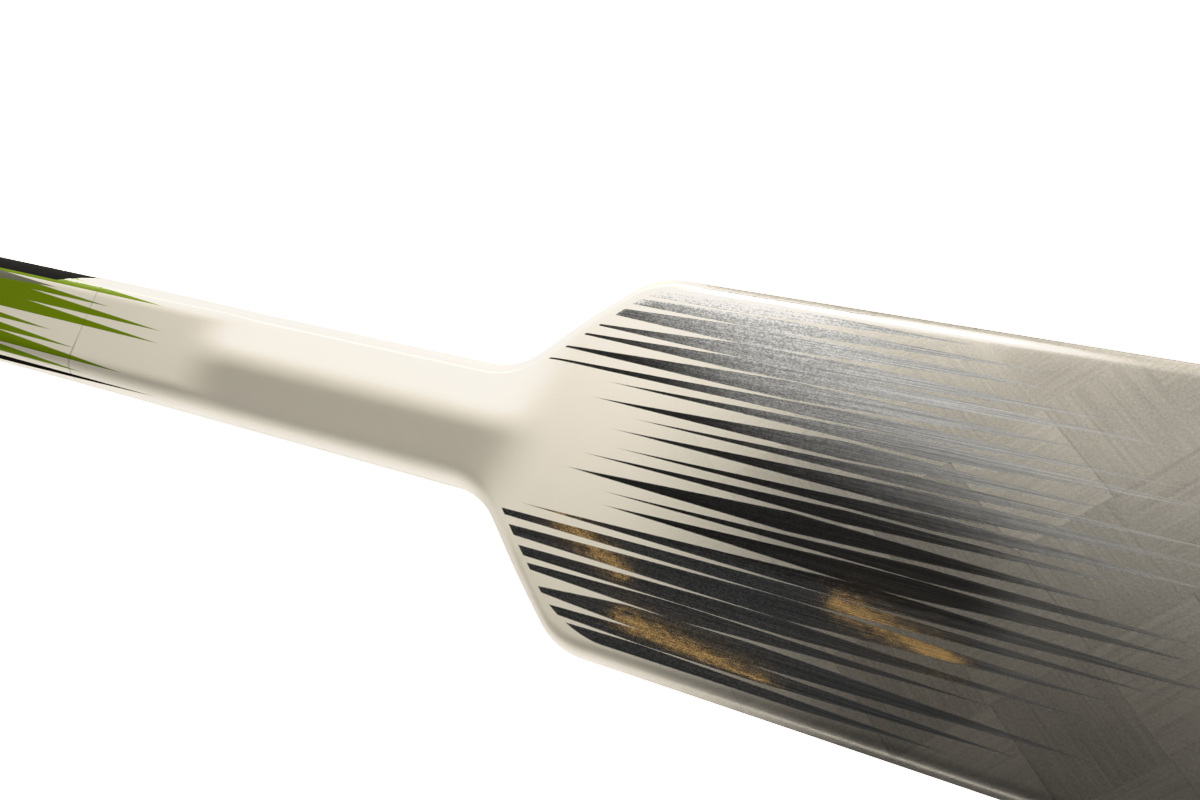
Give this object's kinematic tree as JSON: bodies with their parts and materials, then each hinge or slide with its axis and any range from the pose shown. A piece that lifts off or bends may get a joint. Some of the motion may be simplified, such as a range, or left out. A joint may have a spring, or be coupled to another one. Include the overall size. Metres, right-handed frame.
{
  "type": "hockey goalie stick",
  "caption": "Composite hockey goalie stick with a rectangular shaft, a five-sided grip, angled shoulders, a wide flat paddle and a curved blade set at an angle.",
  "frame": {"origin": "on the paddle's flat back face, on the shaft's centreline, at the throat where the shoulders start to widen", "axes": "+X runs down the stick from the butt end to the heel, +Y points to the side the blade's toe is on, +Z points out of the front face, so the stick lies on its back"},
  "size_m": [1.5894, 0.3828, 0.0333],
  "materials": {
    "gel_coat": "gloss clear coat over a warm white laminate, with dark foil streaks on the paddle and lime and black streaks on the shaft",
    "bare_carbon": "bare woven laminate",
    "core_foam": "closed-cell foam",
    "laminated_wood": "sawn, unfinished",
    "edge_strip": "matt",
    "end_plug": "fine moulded texture"
  },
  "bodies": {
    "root": {"shaft_tube": "gel_coat", "paddle_front_shell": "gel_coat", "paddle_back_shell": "gel_coat", "blade_front_skin": "gel_coat", "blade_back_skin": "gel_coat", "joint_sleeve": "bare_carbon", "paddle_spar": "bare_carbon", "blade_rib": "bare_carbon", "sleeve_foam_plug": "core_foam", "grip_core": "core_foam", "spar_core": "core_foam", "paddle_core_upper": "core_foam", "paddle_core_lower": "core_foam", "blade_core_upper": "core_foam", "blade_core_lower": "core_foam", "heel_block": "laminated_wood", "blade_edge_bead": "edge_strip", "butt_end_plug": "end_plug"}
  },
  "joints": []
}
